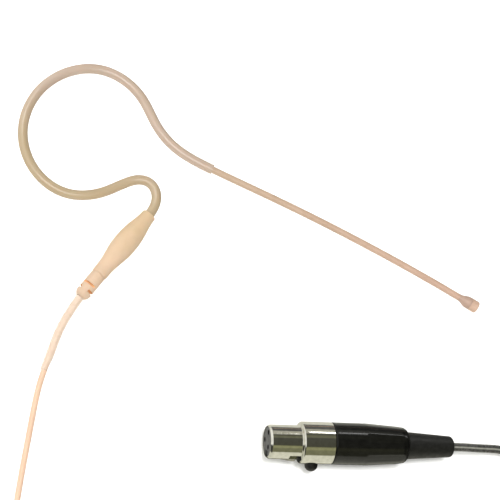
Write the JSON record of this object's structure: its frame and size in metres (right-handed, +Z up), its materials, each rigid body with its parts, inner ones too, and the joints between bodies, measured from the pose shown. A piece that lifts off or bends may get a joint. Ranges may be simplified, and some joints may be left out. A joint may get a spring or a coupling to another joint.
{
  "type": "headset microphone",
  "caption": "Skin-tone single-ear headset microphone: wire ear loop, slim bendable boom with a small capsule, moulded relief, thin lead and a latching mini-XLR plug.",
  "frame": {"origin": "on the surface the part lies on, under the middle of the headset (ear loop, boom, capsule, relief and cable sleeve), without the lead and plug", "axes": "+Z up from the surface, across the thickness of the flat-lying headset; +X from the ear loop towards the capsule"},
  "size_m": [0.1578, 0.1613, 0.0122],
  "materials": {
    "loop_tube_beige": "satin, slightly translucent soft tube",
    "boom_beige": "satin skin-tone coating",
    "capsule_beige": "satin moulded",
    "capsule_cap_beige": "satin moulded",
    "relief_peach": "matte overmoulding",
    "cable_peach": "matte thin cable jacket",
    "sleeve_milky": "milky translucent sleeve",
    "steel_wire": "bare soft steel wire",
    "can_metal": "drawn can",
    "board_green": "solder mask",
    "screen_felt": "felt disc",
    "crimp_copper": "bare crimp tube",
    "nickel": "bright nickel plating",
    "spring_steel": "spring strip",
    "contact_gold": "gold-plated sockets",
    "insert_grey": "moulded insulator",
    "shell_black": "satin black moulding",
    "boot_black": "matte black rubber",
    "sleeve_dark": "dark grey ridged sleeve"
  },
  "bodies": {
    "root": {"ear_loop_tube": "loop_tube_beige", "ear_loop_wire": "steel_wire", "ear_loop_lead": "cable_peach", "boom_root_tube": "boom_beige", "relief_body": "relief_peach", "crimp_ferrule": "crimp_copper", "cable_root": "cable_peach", "strain_relief": "relief_peach", "cable_sleeve": "sleeve_milky", "cord_lead": "cable_peach", "cord_coil": "cable_peach", "cord_tail": "cable_peach", "plug_cable_sleeve": "sleeve_dark", "plug_shell": "nickel", "plug_insert": "insert_grey", "contact_1": "contact_gold", "contact_2": "contact_gold", "contact_3": "contact_gold", "plug_lead_1": "cable_peach", "plug_lead_2": "cable_peach", "plug_lead_3": "cable_peach", "plug_body": "shell_black", "plug_boot": "boot_black", "cable_clamp": "insert_grey", "plug_cable_end": "cable_peach"},
    "boom_neck": {"boom_neck_tube": "boom_beige"},
    "boom": {"boom_tube": "boom_beige", "boom_wire": "steel_wire", "boom_lead": "cable_peach", "capsule_housing": "capsule_beige", "electret_can": "can_metal", "electret_board": "board_green"},
    "cap": {"capsule_cap": "capsule_cap_beige", "capsule_screen": "screen_felt"},
    "latch_button": {"latch_button": "boot_black"},
    "latch_lever": {"latch_lever": "spring_steel"}
  },
  "joints": [
    {"name": "boom_swing", "type": "hinge", "parent": "root", "child": "boom_neck", "pos_m": [-0.00978, 0.0124, 0.00146], "axis": [0, 0, 1], "range_deg": [-20, 20]},
    {"name": "boom_lift", "type": "hinge", "parent": "boom_neck", "child": "boom", "pos_m": [-0.00435, 0.00983, 0.00148], "axis": [-0.4259, -0.9048, 0], "range_deg": [0, 30]},
    {"name": "cap_pull", "type": "slide", "parent": "boom", "child": "cap", "axis": [0.8593, -0.5115, 0.005], "range_m": [0, 0.003]},
    {"name": "button_press", "type": "slide", "parent": "root", "child": "latch_button", "axis": [0.0609, 0.9544, 0.2924], "range_m": [0, 0.0006], "stiffness_N_per_m": 1500, "springref_m": -0.0002},
    {"name": "latch_swing", "type": "hinge", "parent": "root", "child": "latch_lever", "pos_m": [0.02212, -0.07352, 0.00499], "axis": [0.0186, 0.2918, -0.9563], "range_deg": [0, 3.6]}
  ],
  "couplings": [
    {"joint": "latch_swing", "follows": "button_press", "rad_per_m": 98.522}
  ]
}
